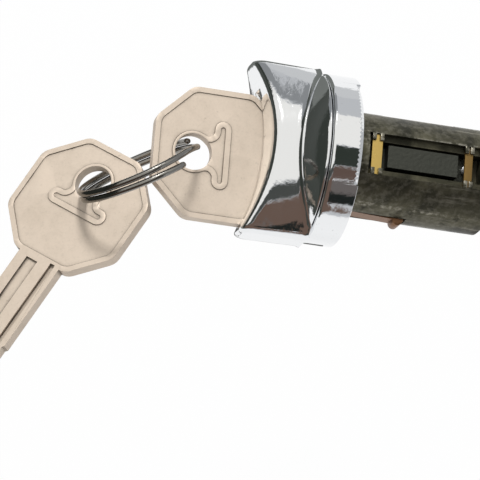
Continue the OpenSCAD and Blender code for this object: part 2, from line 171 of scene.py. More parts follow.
class BezelSizes(bpy.types.PropertyGroup):
    """Sizes of the bezel ring."""

    bore_r: length_prop("Bore", "Radius of the bore round the barrel", 10.33)
    recess_r: length_prop("Recess", "Radius of the recess at the back", 14.2)
    wall: length_prop("Wall", "Thickness of the front wall", 2.5)
    bevel: length_prop("Bevel", "Bevel of the front rim", 0.8)
    tooth_pitch: length_prop("Tooth pitch", "Distance between the teeth", 0.9)
    tooth_depth: length_prop("Tooth depth", "Depth of the teeth", 0.4)
    tooth_sector: angle_prop("Toothed sector", "Angle of each toothed part of the rim", 81.0)
    tooth_turn: angle_prop("Toothed turn", "Middle of the first toothed part, from the side bar", 9.5)
    rim_step: length_prop("Rim step", "Set-back of the toothed part of the rim", 0.6)
    rim_step_w: length_prop("Step width", "Width of the set-back", 1.05)


class KeySizes(bpy.types.PropertyGroup):
    """Sizes of the keys."""

    bow_w: length_prop("Bow width", "Width of the bow across its flats", 26.3)
    bow_cut: length_prop("Bow cut", "Cut of each corner of the bow", 7.0)
    offset: length_prop("Key offset", "Distance of the key's line below the barrel's axis", 2.5)
    slot_gap: length_prop("Slot gap", "Room round the bow in the knob", 0.15)
    blade_half: length_prop("Blade half", "Half width of the keyway", 4.95)


class RingSizes(bpy.types.PropertyGroup):
    """Sizes and place of the split ring."""

    ring_d: length_prop("Ring diameter", "Diameter at the middle of the wire", 24.0)
    wire_d: length_prop("Wire", "Diameter of the wire", 1.25)
    wire_gap: length_prop("Turn gap", "Gap between the two turns", 0.06)
    splay: length_prop("Splay", "How far the free end stands off", 0.5)
    hold: place_prop("Hold", "Where the wire passes the key's hole", (-29.9, -0.7, 0.0))
    turn: angle_prop("Turn", "Direction of the ring about Z, from X", 214.5)
    lean: angle_prop("Lean", "How far the ring leans over", -16.0)
    start: angle_prop("Start", "Where the wire begins on the ring", 150.0)


class SpringSizes(bpy.types.PropertyGroup):
    """Sizes of the small springs inside the barrel."""

    bar_coil: length_prop("Bar coil", "Radius of the side bar's springs at mid-wire", 0.75)
    bar_wire: length_prop("Bar wire", "Wire of the side bar's springs", 0.36)
    bar_turns: count_prop("Bar turns", "Turns of the side bar's springs", 3)
    tumbler_coil: length_prop("Tumbler coil", "Radius of the tumblers' springs at mid-wire", 0.5)
    tumbler_wire: length_prop("Tumbler wire", "Wire of the tumblers' springs", 0.25)
    tumbler_turns: count_prop("Tumbler turns", "Turns of the tumblers' springs", 5)


class Finishes(bpy.types.PropertyGroup):
    """Colours of the finishes."""

    chrome: colour_prop("Chrome", "Bright plating", (0.86, 0.87, 0.88))
    zinc: colour_prop("Zinc", "Weathered casting", (0.108, 0.100, 0.064))
    zinc_pale: colour_prop("Pale zinc", "Rubbed casting", (0.33, 0.31, 0.25))
    zinc_dark: colour_prop("Dark zinc", "Stained casting", (0.024, 0.023, 0.014))
    brass: colour_prop("Brass", "Bright brass", (0.60, 0.42, 0.13))
    dull_brass: colour_prop("Dull brass", "Tarnished brass", (0.22, 0.14, 0.05))
    bar: colour_prop("Side bar", "Dark bar", (0.062, 0.064, 0.054))
    bar_dark: colour_prop("Dark side bar", "Grime on the bar", (0.02, 0.02, 0.022))
    copper: colour_prop("Copper", "Copper-brown leaf", (0.20, 0.105, 0.055))
    copper_dark: colour_prop("Dark copper", "Tarnish on the leaf", (0.1, 0.06, 0.04))
    nickel: colour_prop("Nickel silver", "Satin key metal", (0.655, 0.553, 0.45))
    nickel_dark: colour_prop("Dark nickel", "Stains on the keys", (0.33, 0.27, 0.2))
    # Painted shade: the colour laid into the keys' stamped lines and inner corners.
    key_grime: colour_prop("Key grime", "Dirt along the stamped lines of the keys", (0.07, 0.055, 0.04))
    wire: colour_prop("Wire", "Drawn steel", (0.27, 0.26, 0.24))
    wire_dark: colour_prop("Dark wire", "Grime on the wire", (0.07, 0.065, 0.06))
    steel: colour_prop("Steel", "Plain spring steel", (0.5, 0.5, 0.5))
    steel_dark: colour_prop("Dark steel", "Grime on the steel", (0.12, 0.11, 0.1))


class StageSettings(bpy.types.PropertyGroup):
    """Camera and floor."""

    lens: bpy.props.FloatProperty(
        name="Lens", description="Focal length in millimetres", default=300.0, min=10.0, unit="CAMERA"
    )
    view_w: length_prop("View width", "Width that the picture covers", 92.3)
    aim: place_prop("Aim", "Point at the middle of the picture", (-18.9, -18.4, 0.0))
    floor_drop: length_prop("Floor drop", "Floor below the lowest point, clear of keys that hang down", 60.0)
    floor: colour_prop("Floor", "Pale floor", (0.86, 0.86, 0.86))


class Millimetres:
    """Values of a property group, with its lengths in millimetres."""

    def __init__(self, group):
        for prop in group.bl_rna.properties:
            value = getattr(group, prop.identifier)
            if prop.unit == "LENGTH":
                value = value / MM if isinstance(value, float) else Vector(value) / MM
            setattr(self, prop.identifier, value)


class Value:
    """A shader socket that takes part in Python expressions."""

    def __init__(self, sheet, socket):
        self.sheet = sheet
        self.socket = socket

    def _join(self, operation, first, second):
        return self.sheet.node("ShaderNodeMath", {"operation": operation}, {0: first, 1: second})

    def __add__(self, other):
        return self._join("ADD", self, other)

    __radd__ = __add__

    def __sub__(self, other):
        return self._join("SUBTRACT", self, other)

    def __rsub__(self, other):
        return self._join("SUBTRACT", other, self)

    def __mul__(self, other):
        return self._join("MULTIPLY", self, other)

    __rmul__ = __mul__


class Sheet:
    """Node sheet of a material or of the world."""

    def __init__(self, owner, shader, output):
        owner.use_nodes = True
        self.owner = owner
        self.tree = owner.node_tree
        self.shader = self.tree.nodes[shader]
        self.output = self.tree.nodes[output]

    def node(self, kind, settings=None, inputs=None, out=0):
        """Adds a node, sets it, feeds it, and gives one of its outputs."""
        made = self.tree.nodes.new(kind)
        for key, value in (settings or {}).items():
            setattr(made, key, value)
        for key, value in (inputs or {}).items():
            self.feed(made.inputs[key], value)
        return Value(self, made.outputs[out])

    def feed(self, socket, value):
        """Links a value to a socket, or sets the socket's own number or colour."""
        if isinstance(value, Value):
            self.tree.links.new(value.socket, socket)
        elif hasattr(value, "__len__") and len(value) == 3 and len(socket.default_value) == 4:
            socket.default_value = (*value, 1.0)
        else:
            socket.default_value = value

    def set(self, **sockets):
        """Feeds the surface shader's sockets, named with underscores."""
        for key, value in sockets.items():
            self.feed(self.shader.inputs[key.replace("_", " ").title()], value)

    def show_over(self, factor, cover):
        """Mixes a cover shader over the surface shader, by a factor, into the output."""
        surface = Value(self, self.shader.outputs[0])
        both = self.node("ShaderNodeMixShader", None, {0: factor, 1: surface, 2: cover})
        self.feed(self.output.inputs["Surface"], both)

    def ray(self, kind):
        """1 for light rays of a kind, 0 for others."""
        return self.node("ShaderNodeLightPath", out=f"Is {kind} Ray")

    def place(self, stretch):
        """Object coordinates, stretched along each axis."""
        spot = self.node("ShaderNodeTexCoord", out="Object")
        return self.node("ShaderNodeVectorMath", {"operation": "MULTIPLY"}, {0: spot, 1: stretch})

    def noise(self, scale, detail=3.0, rough=0.55, stretch=(1.0, 1.0, 1.0), twist=0.0):
        """Noise from 0 to 1; scale is in grains per metre."""
        inputs = {"Vector": self.place(stretch), "Scale": scale, "Detail": detail, "Roughness": rough}
        inputs["Distortion"] = twist
        return self.node("ShaderNodeTexNoise", None, inputs)

    def band(self, value, low, high):
        """0 below low, 1 above high, smooth between."""
        settings = {"interpolation_type": "SMOOTHSTEP"}
        return self.node("ShaderNodeMapRange", settings, {"Value": value, "From Min": low, "From Max": high})

    def mix(self, factor, first, second):
        """Colour between first and second."""
        inputs = {0: factor, 6: first, 7: second}
        return self.node("ShaderNodeMix", {"data_type": "RGBA"}, inputs, out=2)

    def bump(self, height, strength, distance):
        """Normal of a bumpy surface."""
        inputs = {"Height": height, "Strength": strength, "Distance": distance}
        return self.node("ShaderNodeBump", None, inputs)

    def crease(self, reach, low, high):
        """0 on open faces, 1 in a groove or an inner corner that is narrower than reach."""
        settings = {"samples": 8, "only_local": True}
        shade = self.node("ShaderNodeAmbientOcclusion", settings, {"Distance": reach}, out="AO")
        return self.band(1 - shade, low, high)

    def worn(self):
        """Geometry pointiness: high on outer edges and low in corners."""
        return self.node("ShaderNodeNewGeometry", out="Pointiness")


def finish_sheet(name):
    """Sheet of a new material."""
    return Sheet(bpy.data.materials.new(f"{name} finish"), "Principled BSDF", "Material Output")


def tinted(colour, factor):
    """A colour made lighter or darker, up to white."""
    return tuple(min(1.0, c * factor) for c in colour)


def chrome_finish(name, colours):
    """Bright plating over a casting that isn't quite smooth."""
    sheet = finish_sheet(name)
    ripple = sheet.noise(420.0, 2.0)
    grain = sheet.noise(3800.0, 3.0)
    haze = sheet.band(sheet.noise(160.0, 4.0, twist=0.8), 0.5, 0.75)
    specks = sheet.band(sheet.noise(1500.0, 1.0), 0.74, 0.8)
    stain = sheet.mix(specks * 0.5, colours.chrome, tinted(colours.chrome, 0.55))
    sheet.set(base_color=stain, metallic=1.0)
    sheet.set(roughness=0.05 + haze * 0.06 + specks * 0.2)
    sheet.set(normal=sheet.bump(ripple * 0.8 + grain * 0.12, 0.12, 0.0004))
    return sheet.owner


def zinc_finish(name, colours):
    """Old die casting: stained, rubbed on its edges and scored along its length."""
    sheet = finish_sheet(name)
    cloud = sheet.band(sheet.noise(130.0, 5.0, 0.62, twist=0.6), 0.3, 0.72)
    stain = sheet.band(sheet.noise(420.0, 4.0, 0.6), 0.52, 0.72)
    score = sheet.band(sheet.noise(700.0, 4.0, 0.7, (0.12, 1.0, 1.0)), 0.56, 0.74)
    edge = sheet.band(sheet.worn(), 0.51, 0.56)
    rub = sheet.band(sheet.noise(900.0, 4.0, 0.65), 0.42, 0.66)
    body = sheet.mix(cloud, colours.zinc_dark, colours.zinc)
    body = sheet.mix(stain * 0.7, body, colours.zinc_dark)
    body = sheet.mix(score * 0.45, body, colours.zinc_pale)
    body = sheet.mix(edge * rub * 0.8, body, colours.zinc_pale)
    height = sheet.noise(2600.0, 4.0, 0.6) * 0.5 + score * 0.35 + cloud * 0.5
    sheet.set(base_color=body, metallic=0.75, roughness=0.5 - edge * 0.12 + stain * 0.16)
    sheet.set(normal=sheet.bump(height, 0.35, 0.0002))
    return sheet.owner


def nickel_finish(name, colours):
    """Satin key metal: faint tumbling marks, small dings and painted shade along the stamped lines."""
    sheet = finish_sheet(name)
    mottle = sheet.band(sheet.noise(220.0, 5.0, 0.6, twist=0.5), 0.35, 0.8)
    fine = sheet.noise(5200.0, 3.0, 0.6)
    hair = sheet.band(sheet.noise(1500.0, 3.0, 0.7, (1.0, 0.08, 1.0), 0.3), 0.6, 0.72)
    ding = sheet.band(sheet.noise(1200.0, 2.0), 0.68, 0.78)
    speck = sheet.band(sheet.noise(1900.0, 5.0, 0.75), 0.46, 0.72)
    # Painted shade: ambient occlusion darkens the stamped lines and inner corners of the keys.
    corner = sheet.crease(0.0008, 0.05, 0.24)
    edge = sheet.band(sheet.worn(), 0.505, 0.56)
    body = sheet.mix(mottle * 0.22 + ding * 0.4 + speck * 0.16, colours.nickel, colours.nickel_dark)
    # Painted shade in the creases, in the crease shade colour.
    body = sheet.mix(corner * (0.65 + mottle * 0.35), body, colours.key_grime)
    body = sheet.mix(edge * 0.5, body, tinted(colours.nickel, 1.12))
    sheet.set(base_color=body, metallic=0.5, roughness=0.44 + fine * 0.1 + mottle * 0.06 - hair * 0.08)
    sheet.set(normal=sheet.bump(fine * 0.5 - ding * 0.6 + hair * 0.2, 0.16, 0.0001))
    return sheet.owner


def metal_finish(name, colour, dark, roughness, grain=1800.0, bump=0.2, dirt=0.55):
    """Plain metal with a fine grain, stained in patches and darker in inner corners."""
    sheet = finish_sheet(name)
    patch = sheet.band(sheet.noise(260.0, 5.0, 0.6, twist=0.4), 0.4, 0.78)
    fine = sheet.noise(grain, 4.0, 0.6)
    # Darker in inner corners, where the pointiness is low.
    corner = 1 - sheet.band(sheet.worn(), 0.44, 0.5)
    patch_and_corner_dark = sheet.band(patch * 0.5 + corner * 0.7 + fine * 0.25, 0.35, 1.1)
    sheet.set(base_color=sheet.mix(patch_and_corner_dark * dirt, colour, dark), metallic=1.0)
    sheet.set(roughness=roughness + fine * 0.1 + patch_and_corner_dark * 0.12)
    sheet.set(normal=sheet.bump(fine, bump, 0.0001))
    return sheet.owner


WORKED_FINISHES = {"chrome": chrome_finish, "zinc": zinc_finish, "nickel_silver": nickel_finish}
PLAIN_FINISHES = {
    "brass": ("brass", "dull_brass", {"roughness": 0.24}),
    "dull_brass": ("dull_brass", "zinc_dark", {"roughness": 0.4, "dirt": 0.8}),
    "blued_bar": ("bar", "bar_dark", {"roughness": 0.4, "grain": 1300.0, "bump": 0.7}),
    "copper_leaf": ("copper", "copper_dark", {"roughness": 0.34}),
    "ring_wire": ("wire", "wire_dark", {"roughness": 0.12, "grain": 2600.0, "bump": 0.1}),
    "spring_steel": ("steel", "steel_dark", {"roughness": 0.3}),
    "spring_bronze": ("copper", "copper_dark", {"roughness": 0.3}),
}


def finish_material(name):
    """Material of a finish, made once."""
    known = bpy.data.materials.get(f"{name} finish")
    if known:
        return known
    colours = bpy.context.scene.lock_finishes
    if name in WORKED_FINISHES:
        return WORKED_FINISHES[name](name, colours)
    colour, dark, settings = PLAIN_FINISHES[name]
    return metal_finish(name, getattr(colours, colour), getattr(colours, dark), **settings)


def dress(node, finish, bevel, segments=2, shrink=0.0):
    """Gives a CAD piece its finish, soft edges and smooth shading, and room to its neighbours."""
    piece = NODES[node]
    piece.data.materials.clear()
    piece.data.materials.append(finish_material(finish))
    weld = piece.modifiers.new("weld", "WELD")
    weld.merge_threshold = WELD_GAP * MM
    if shrink:
        room = piece.modifiers.new("room", "DISPLACE")
        room.strength = -shrink * MM
        room.mid_level = 0.0
    soft = piece.modifiers.new("soft edges", "BEVEL")
    soft.width = bevel * MM
    soft.segments = segments
    soft.limit_method = "ANGLE"
    soft.angle_limit = SOFT_ANGLE
    soft.miter_outer = "MITER_ARC"
    shade_evenly(piece)


def shade_evenly(piece):
    """Smooth shading, led by the large faces."""
    with bpy.context.temp_override(object=piece, active_object=piece, selected_editable_objects=[piece]):
        bpy.ops.object.shade_smooth()
    even = piece.modifiers.new("even normals", "WEIGHTED_NORMAL")
    even.keep_sharp = False
    even.weight = LARGE_FACE_WEIGHT


def new_mesh(name, verts, faces, finish, *nodes):
    """Adds a mesh piece, in millimetres, that stands for CAD nodes."""
    mesh = bpy.data.meshes.new(name)
    mesh.from_pydata([Vector(v) * MM for v in verts], [], faces)
    same = SAME_POINT * MM
    work = bmesh.new()
    work.from_mesh(mesh)
    bmesh.ops.remove_doubles(work, verts=work.verts, dist=same)
    bmesh.ops.dissolve_degenerate(work, edges=work.edges, dist=same)
    bmesh.ops.recalc_face_normals(work, faces=work.faces)
    for face in work.faces:
        face.smooth = True
    work.to_mesh(mesh)
    work.free()
    mesh.materials.append(finish_material(finish))
    piece = bpy.data.objects.new(name, mesh)
    bpy.context.collection.objects.link(piece)
    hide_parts(*nodes)
    return piece


def new_piece(name, verts, faces, finish, body, *nodes):
    """Adds a mesh piece that stands for CAD nodes and rides on a body."""
    piece = new_mesh(name, verts, faces, finish, *nodes)
    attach(piece, body)
    return piece


def grid_faces(rows, columns, close_rows, start=0):
    """Quads between closed rows of points; the first corner of each tells its row and column."""
    faces = []
    for i in range(rows if close_rows else rows - 1):
        for j in range(columns):
            a = start + i * columns + j
            b = start + i * columns + (j + 1) % columns
            c = start + (i + 1) % rows * columns + (j + 1) % columns
            d = start + (i + 1) % rows * columns + j
            faces.append((a, b, c, d))
    return faces


def wire_tube(rows, wire, sides, taper=1.0):
    """Points and faces of round wire through rows of (centre, outward, sideways), its ends narrowed."""
    verts = []
    last = len(rows) - 1
    for k, (centre, out, side) in enumerate(rows):
        r = wire / 2 * (taper if k in (0, last) else 1.0)
        for j in range(sides):
            angle = 2 * math.pi * j / sides
            verts.append(centre + (out * math.cos(angle) + side * math.sin(angle)) * r)
    faces = grid_faces(len(rows), sides, False)
    faces.append(tuple(range(sides)))
    faces.append(tuple(range(last * sides + sides - 1, last * sides - 1, -1)))
    return verts, faces


def turned_point(r, x, angle):
    """A point at a radius and a place along X, turned about X from Z by an angle in radians."""
    return (x, r * math.sin(angle), r * math.cos(angle))


def lens_half(y, length, mid, end):
    """Half thickness at y of a lens outline that is mid thick at its middle and end at its ends."""
    bulge = mid - end
    r = (length * length + bulge * bulge) / (2 * bulge)
    return mid - r + math.sqrt(max(r * r - y * y, 0.0))


def quarter_arc(centre, r, steps):
    """Points of a quarter circle in a plane, from the top to the left."""
    points = []
    for k in range(steps + 1):
        angle = math.radians(90 + 90 * k / steps)
        points.append((centre[0] + r * math.cos(angle), centre[1] + r * math.sin(angle)))
    return points


class Knob:
    """Shape of the winged knob, worked out from its sizes in millimetres."""

    foot_lift = 0.05
    foot_rounds = 12
    fillet_share = 0.35
    fillet_spread = 0.9
    fillet_sink = 0.25
    slot_rim = 0.2
    skin = 0.01
    beside = 0.02
    skirt_chamfer = 0.15
    skirt_soft = 0.18

    def __init__(self, sizes, keys):
        self.s = sizes
        self.k = keys
        self.back = -sizes.skirt_back
        self.front = span("knob", 0)[0]
        self.middle = self.front + sizes.ear_rise
        self.scoop_r = (sizes.ear_half**2 + sizes.ear_rise**2) / (2 * sizes.ear_rise)
        self.dome_r = (sizes.skirt_r**2 + sizes.dome_rise**2) / (2 * sizes.dome_rise)
        self.apex = self.back - sizes.dome_rise - sizes.skirt_rim
        self.bow_edge = span("ignition_key", 0)[0] + keys.bow_w
        self.bow_reach = keys.bow_w / 2 + keys.slot_gap

    def dome_x(self, r):
        """Place of the domed skirt along X at a radius."""
        r = min(r, self.s.skirt_r)
        return self.apex + self.dome_r - math.sqrt(self.dome_r**2 - r * r)

    def front_x(self, y):
        """Place of the hollow front along X."""
        return self.middle - self.scoop_r + math.sqrt(self.scoop_r**2 - y * y)

    def side(self, x, y):
        """Half thickness of the wing at a place along X and Y."""
        front = lens_half(y, self.s.ear_half, self.s.wing_half, self.s.ear_thick)
        foot = lens_half(y, self.s.ear_half - self.s.skirt_rim, self.s.foot_half, self.s.foot_end)
        share = (x - self.front) / (self.back - self.front)
        return front + (foot - front) * share

    def foot_x(self, y, inset):
        """Where the wing's side meets the skirt, found step by step."""
        x = self.dome_x(abs(y))
        for _ in range(self.foot_rounds):
            x = self.dome_x(math.hypot(y, self.side(x, y) - inset))
        return x

    def by_blade(self, y):
        """Whether the blade passes at y."""
        return abs(y + self.k.offset) < self.k.blade_half

    def slot_floor(self, y):
        """Floor of the slot that takes the key's bow, along X."""
        front = self.front_x(y)
        across = abs(y + self.k.offset)
        edge = self.k.bow_w / 2 - self.k.bow_cut
        if self.by_blade(y):
            return self.back - self.slot_rim
        if across <= self.bow_reach:
            pocket = self.bow_edge + self.k.slot_gap - max(across - edge, 0.0)
            return max(pocket, front + self.s.slot_depth)
        if across <= self.bow_reach + self.s.slot_runout and y > 0:
            return front + self.s.slot_depth
        return front + self.skin

    def section(self, y, inset):
        """Upper half of the cross-section at y, from the foot over the front to the slot's floor."""
        s = self.s
        front = self.front_x(y) + inset
        foot = self.foot_x(y, inset)
        fillet = min(s.fillet_r, self.fillet_share * (foot - front))
        spread = fillet * self.fillet_spread
        points = [(self.back - self.foot_lift, self.side(foot, y) - inset + spread)]
        steps = 7
        for k in range(steps):
            t = k / (steps - 1)
            x = foot + fillet * (self.fillet_sink * (1 - t) - t)
            points.append((x, self.side(x, y) - inset + spread * (1 - t) ** 2))
        start = points[-1][0]
        edge = front + s.edge_r
        for k in range(1, steps):
            x = start + (edge - start) * k / steps
            points.append((x, self.side(x, y) - inset))
        inner = self.side(edge, y) - inset - s.edge_r
        points += quarter_arc((edge, inner), s.edge_r, steps)
        lip = s.slot_half + s.slot_chamfer
        face_steps = 3
        points += [(front, inner + (lip - inner) * k / face_steps) for k in range(1, face_steps + 1)]
        floor = max(self.slot_floor(y), front + self.skin)
        points.append((front + min(s.slot_chamfer, floor - front), s.slot_half))
        points += [(floor, s.slot_half), (floor, 0.0)]
        return points

    def stations(self):
        """Places along Y with the inset of each, closer at the ears and at the slot's ends."""
        s = self.s
        marks = [-self.bow_reach, self.bow_reach, self.bow_reach + s.slot_runout]
        marks += [-self.k.blade_half, self.k.blade_half]
        flat = s.ear_half - s.lip_r
        steps = 40
        places = [flat * k / steps for k in range(-steps, steps + 1)]
        for mark in marks:
            places += [mark - self.k.offset - self.beside, mark - self.k.offset + self.beside]
        rows = [(y, 0.0) for y in sorted(p for p in places if abs(p) <= flat)]
        ends = []
        lip_steps = 7
        for k in range(1, lip_steps + 1):
            t = math.radians(90 * k / lip_steps)
            ends.append((flat + s.lip_r * math.sin(t), s.lip_r * (1 - math.cos(t))))
        return [(-y, inset) for y, inset in reversed(ends)] + rows + ends

    def wing(self):
        """Points and faces of the wing, open to the back where the blade passes."""
        verts = []
        stations = self.stations()
        for y, inset in stations:
            half = self.section(y, inset)
            verts += [(x, y, z) for x, z in half]
            verts += [(x, y, -z) for x, z in reversed(half[:-1])]
        columns = len(verts) // len(stations)
        last = (len(stations) - 1) * columns
        middle = columns // 2
        blade = [k for k, (y, _) in enumerate(stations) if self.by_blade(y)]
        passed = {k * columns + j for k in blade[:-1] for j in (middle - 1, middle, columns - 1)}
        faces = [face for face in grid_faces(len(stations), columns, False) if face[0] not in passed]
        faces += [tuple(range(columns)), tuple(range(last + columns - 1, last - 1, -1))]
        for k in blade[:-1]:
            here = k * columns
            there = here + columns
            for floor, foot in ((middle - 1, 0), (middle + 1, columns - 1)):
                faces.append((here + floor, here + foot, there + foot, there + floor))
        for k in (blade[0], blade[-1]):
            faces.append(tuple(k * columns + j for j in (middle - 1, middle, middle + 1, columns - 1, 0)))
        return verts, faces

    def skirt(self, start):
        """Points and faces of the domed skirt; start is the first free point."""
        rim = self.s.skirt_r
        soft = self.skirt_soft
        profile = [(self.s.skirt_bore, self.back), (rim - self.skirt_chamfer, self.back)]
        profile.append((rim, self.back - self.skirt_chamfer))
        edge_x = self.dome_x(rim)
        profile += [(rim, edge_x + soft * 2 / 3), (rim - soft / 3, edge_x + soft / 9)]
        steps = 20
        for k in range(steps + 1):
            r = rim - soft - (rim - soft - self.s.skirt_bore) * k / steps
            profile.append((r, self.dome_x(r)))
        turns = 180
        verts = []
        for k in range(turns):
            verts += [turned_point(r, x, 2 * math.pi * k / turns) for r, x in profile]
        return verts, grid_faces(turns, len(profile), True, start)


class LOCK_OT_knob(bpy.types.Operator):
    """Builds the chromed knob with its winged grip"""

    bl_idname = "lock.knob"
    bl_label = "Winged knob"

    def execute(self, context):
        knob = Knob(Millimetres(context.scene.lock_knob), Millimetres(context.scene.lock_keys))
        verts, faces = knob.wing()
        more, more_faces = knob.skirt(len(verts))
        piece = new_piece("winged_knob", verts + more, faces + more_faces, "chrome", "lock", "knob")
        shade_evenly(piece)
        return {"FINISHED"}


class LOCK_OT_bezel(bpy.types.Operator):
    """Builds the bezel ring with its toothed back rim"""

    bl_idname = "lock.bezel"
    bl_label = "Bezel ring"

    bevel_run = 0.25
    bevel_land = 0.4
    rim_break = (0.1, 0.12)
    back_break = 0.15

    def execute(self, context):
        s = Millimetres(context.scene.lock_bezel)
        ends = span("bezel_ring", 0)
        radius = span("bezel_ring", 1)[1]
        pitch = math.degrees(s.tooth_pitch / radius)
        middles = [math.degrees(s.tooth_turn) + half_turn for half_turn in (0.0, 180.0)]
        half = math.degrees(s.tooth_sector) / 2
        stations = self.angles(pitch, middles, half)
        verts = []
        for angle in stations:
            rim = self.rim_x(s, angle, pitch, middles, half)
            profile = self.profile(s, ends, radius, rim)
            verts += [turned_point(r, x, math.radians(angle)) for r, x in profile]
        columns = len(verts) // len(stations)
        faces = grid_faces(len(stations), columns, True)
        piece = new_piece("bezel", verts, faces, "chrome", "bezel", "bezel_ring")
        shade_evenly(piece)
        return {"FINISHED"}

    @staticmethod
    def angles(pitch, middles, half):
        """Angles of the stations in degrees, four to a tooth and close at the toothed parts' ends."""
        steps = int(round(360.0 / pitch)) * 4
        beside = 0.05
        found = [360.0 * k / steps for k in range(steps)]
        for middle in middles:
            for edge in (middle - half, middle + half):
                found += [(edge - beside) % 360.0, (edge + beside) % 360.0]
        return sorted(found)

    @staticmethod
    def rim_x(s, angle, pitch, middles, half):
        """Place of the outer back rim at an angle from the side bar, in degrees."""
        for middle in middles:
            off = (angle - middle + 180.0) % 360.0 - 180.0
            if abs(off) < half:
                wave = abs((off / pitch) % 1.0 - 0.5) * 2
                return -s.rim_step - s.tooth_depth * (1 - wave)
        return 0.0

    def profile(self, s, ends, radius, rim):
        """Section of the ring, as (radius, X), with its outer back rim at a place along X."""
        front, back = ends
        rim_across, rim_along = self.rim_break
        shoulder = radius - s.bevel - self.bevel_run
        step_r = radius - s.rim_step_w
        points = [(s.bore_r, front), (shoulder, front)]
        steps = 6
        for k in range(1, steps + 1):
            t = math.radians(90 * k / steps)
            points.append((shoulder + (radius - shoulder) * math.sin(t), front + s.bevel * (1 - math.cos(t))))
        points += [(radius, front + s.bevel + self.bevel_land), (radius, rim - rim_along)]
        points += [(radius - rim_across, rim), (step_r, rim), (step_r, back)]
        points += [(s.recess_r + self.back_break, back), (s.recess_r, back - self.back_break)]
        points += [(s.recess_r, front + s.wall), (s.bore_r, front + s.wall)]
        return points


class LOCK_OT_barrel(bpy.types.Operator):
    """Finishes the barrel and what is in and on it"""

    bl_idname = "lock.barrel"
    bl_label = "Lock barrel"

    def execute(self, context):
        dress("lock_barrel", "zinc", 0.14)
        dress("side_bar", "blued_bar", 0.18)
        dress("front_bar_retainer", "brass", 0.16)
        dress("rear_bar_retainer", "dull_brass", 0.16)
        dress("tumbler_cover", "dull_brass", 0.1)
        dress("retaining_spring", "copper_leaf", 0.12, shrink=0.05)
        dress("retaining_clip", "spring_steel", 0.1)
        dress("spring_washer", "spring_steel", 0.06)
        for k in range(1, TUMBLERS + 1):
            dress(f"tumbler_{k}", "brass", 0.06)
        return {"FINISHED"}


class LOCK_OT_springs(bpy.types.Operator):
    """Winds the springs over the side bar and the tumblers"""

    bl_idname = "lock.springs"
    bl_label = "Springs"

    bar_sides = 10
    tumbler_sides = 8
    turn_steps = 24

    def execute(self, context):
        s = Millimetres(context.scene.lock_springs)
        lift = next(j for j in frame["joints"] if j["name"] == "side_bar_slide")["range_m"][1]
        for end in ("front", "rear"):
            node = f"{end}_bar_spring"
            rows, low, high = self.coil(node, 2, s.bar_coil, s.bar_wire, s.bar_turns)
            verts, faces = wire_tube(rows, s.bar_wire, self.bar_sides)
            piece = new_piece(f"{end}_bar_coil", verts, faces, "spring_steel", "lock", node)
            keep = 1 - lift / (high - low).length
            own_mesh(piece)
        for k in range(1, TUMBLERS + 1):
            node = f"tumbler_spring_{k}"
            rows, low, high = self.coil(node, 1, s.tumbler_coil, s.tumbler_wire, s.tumbler_turns)
            verts, faces = wire_tube(rows, s.tumbler_wire, self.tumbler_sides)
            piece = new_mesh(f"tumbler_coil_{k}", verts, faces, "spring_bronze", node)
            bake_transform(piece)
        return {"FINISHED"}

    def coil(self, node, axis, radius, wire, turns):
        """Rows of a coil between the ends of a CAD spring, and the middles of those ends in metres."""
        spans = [Vector(span(node, a)) for a in range(3)]
        low = Vector([sum(s) / 2 for s in spans])
        high = low.copy()
        low[axis], high[axis] = spans[axis]
        along = (high - low).normalized()
        first = Vector((1.0, 0.0, 0.0))
        second = along.cross(first)
        steps = self.turn_steps * turns
        rows = []
        for k in range(steps + 1):
            angle = 2 * math.pi * turns * k / steps
            out = first * math.cos(angle) + second * math.sin(angle)
            rise = wire / 2 + ((high - low).length - wire) * k / steps
            rows.append((low + along * rise + out * radius, out, along))
        return rows, low * MM, high * MM


class LOCK_OT_keys(bpy.types.Operator):
    """Finishes both keys"""

    bl_idname = "lock.keys"
    bl_label = "Keys"

    def execute(self, context):
        for node in ("ignition_key", "spare_key"):
            dress(node, "nickel_silver", 0.16, segments=3)
        return {"FINISHED"}


class LOCK_OT_ring(bpy.types.Operator):
    """Winds the split ring"""

    bl_idname = "lock.ring"
    bl_label = "Split ring"

    steps = 132
    cut = 13
    crossing = 0.08
    splay_from = 1.6
    splay_over = 0.3
    sides = 16
    end_taper = 0.82

    def execute(self, context):
        s = Millimetres(context.scene.lock_ring)
        along = Vector((math.cos(s.turn), math.sin(s.turn), 0.0))
        left = Vector((-along.y, along.x, 0.0))
        rise = Vector((0.0, 0.0, 1.0)) * math.cos(s.lean) - left * math.sin(s.lean)
        across = along.cross(rise)
        r = s.ring_d / 2
        middle = s.hold + along * r
        rows = []
        for k in range(self.cut, 2 * self.steps - self.cut + 1):
            t = k / self.steps
            angle = 2 * math.pi * t + s.start
            out = along * math.cos(angle) + rise * math.sin(angle)
            rows.append((middle + out * r - across * self.apart(s, t), out, across))
        verts, faces = wire_tube(rows, s.wire_d, self.sides, self.end_taper)
        piece = new_piece("split_ring", verts, faces, "ring_wire", "ring", "key_ring")
        shade_evenly(piece)
        return {"FINISHED"}

    def apart(self, s, t):
        """How far the wire lies beside the ring's middle after t turns."""
        share = min(max((t - 1 + self.crossing) / (2 * self.crossing), 0.0), 1.0)
        ease = share * share * (3 - 2 * share)
        free = max((t - self.splay_from) / self.splay_over, 0.0)
        return (s.wire_d + s.wire_gap) * (ease - 0.5) + s.splay * free**2


